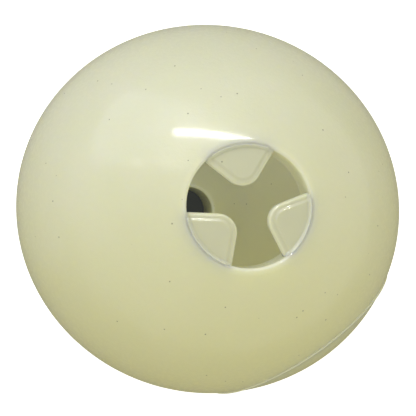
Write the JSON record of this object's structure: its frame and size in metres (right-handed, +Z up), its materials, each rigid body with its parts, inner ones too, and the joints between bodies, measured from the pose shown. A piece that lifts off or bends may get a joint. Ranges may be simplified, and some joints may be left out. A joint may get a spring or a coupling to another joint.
{
  "type": "treat ball",
  "caption": "Hollow soft-rubber ball with a round mouth that bendable flaps partly close and a smaller vent hole opposite; holds treats and lets them out as it rolls.",
  "frame": {"origin": "middle of the circle on which the ball stands, the lowest circle of the vent's rounded rim", "axes": "+Z up along the axis that the vent and the mouth share, out through the mouth; +X and +Y across it, with the side cap at 53.8 degrees from +X towards -Y"},
  "size_m": [0.09, 0.0903, 0.0876],
  "materials": {
    "shell_rubber": "glossy, slightly translucent moulded rubber, greenish cream",
    "flap_rubber": "the same rubber where it is thin, a little darker and duller",
    "bond_rubber": "fine raised bead, slightly paler than the shell"
  },
  "bodies": {
    "ball": {"main_shell": "shell_rubber", "side_cap": "shell_rubber", "bond_line": "bond_rubber"},
    "flap_1": {"flap_1": "flap_rubber"},
    "flap_2": {"flap_2": "flap_rubber"},
    "flap_3": {"flap_3": "flap_rubber"}
  },
  "joints": [
    {"name": "flap_1_bend", "type": "hinge", "parent": "ball", "child": "flap_1", "pos_m": [-0.00166, 0.00972, 0.0856], "axis": [-0.9857, -0.1685, 0], "range_deg": [-45, 45], "stiffness_Nm_per_rad": 0.02},
    {"name": "flap_2_bend", "type": "hinge", "parent": "ball", "child": "flap_2", "pos_m": [-0.00759, -0.0063, 0.0856], "axis": [0.6388, -0.7694, 0], "range_deg": [-45, 45], "stiffness_Nm_per_rad": 0.02},
    {"name": "flap_3_bend", "type": "hinge", "parent": "ball", "child": "flap_3", "pos_m": [0.00925, -0.00342, 0.0856], "axis": [0.3469, 0.9379, 0], "range_deg": [-45, 45], "stiffness_Nm_per_rad": 0.02}
  ]
}
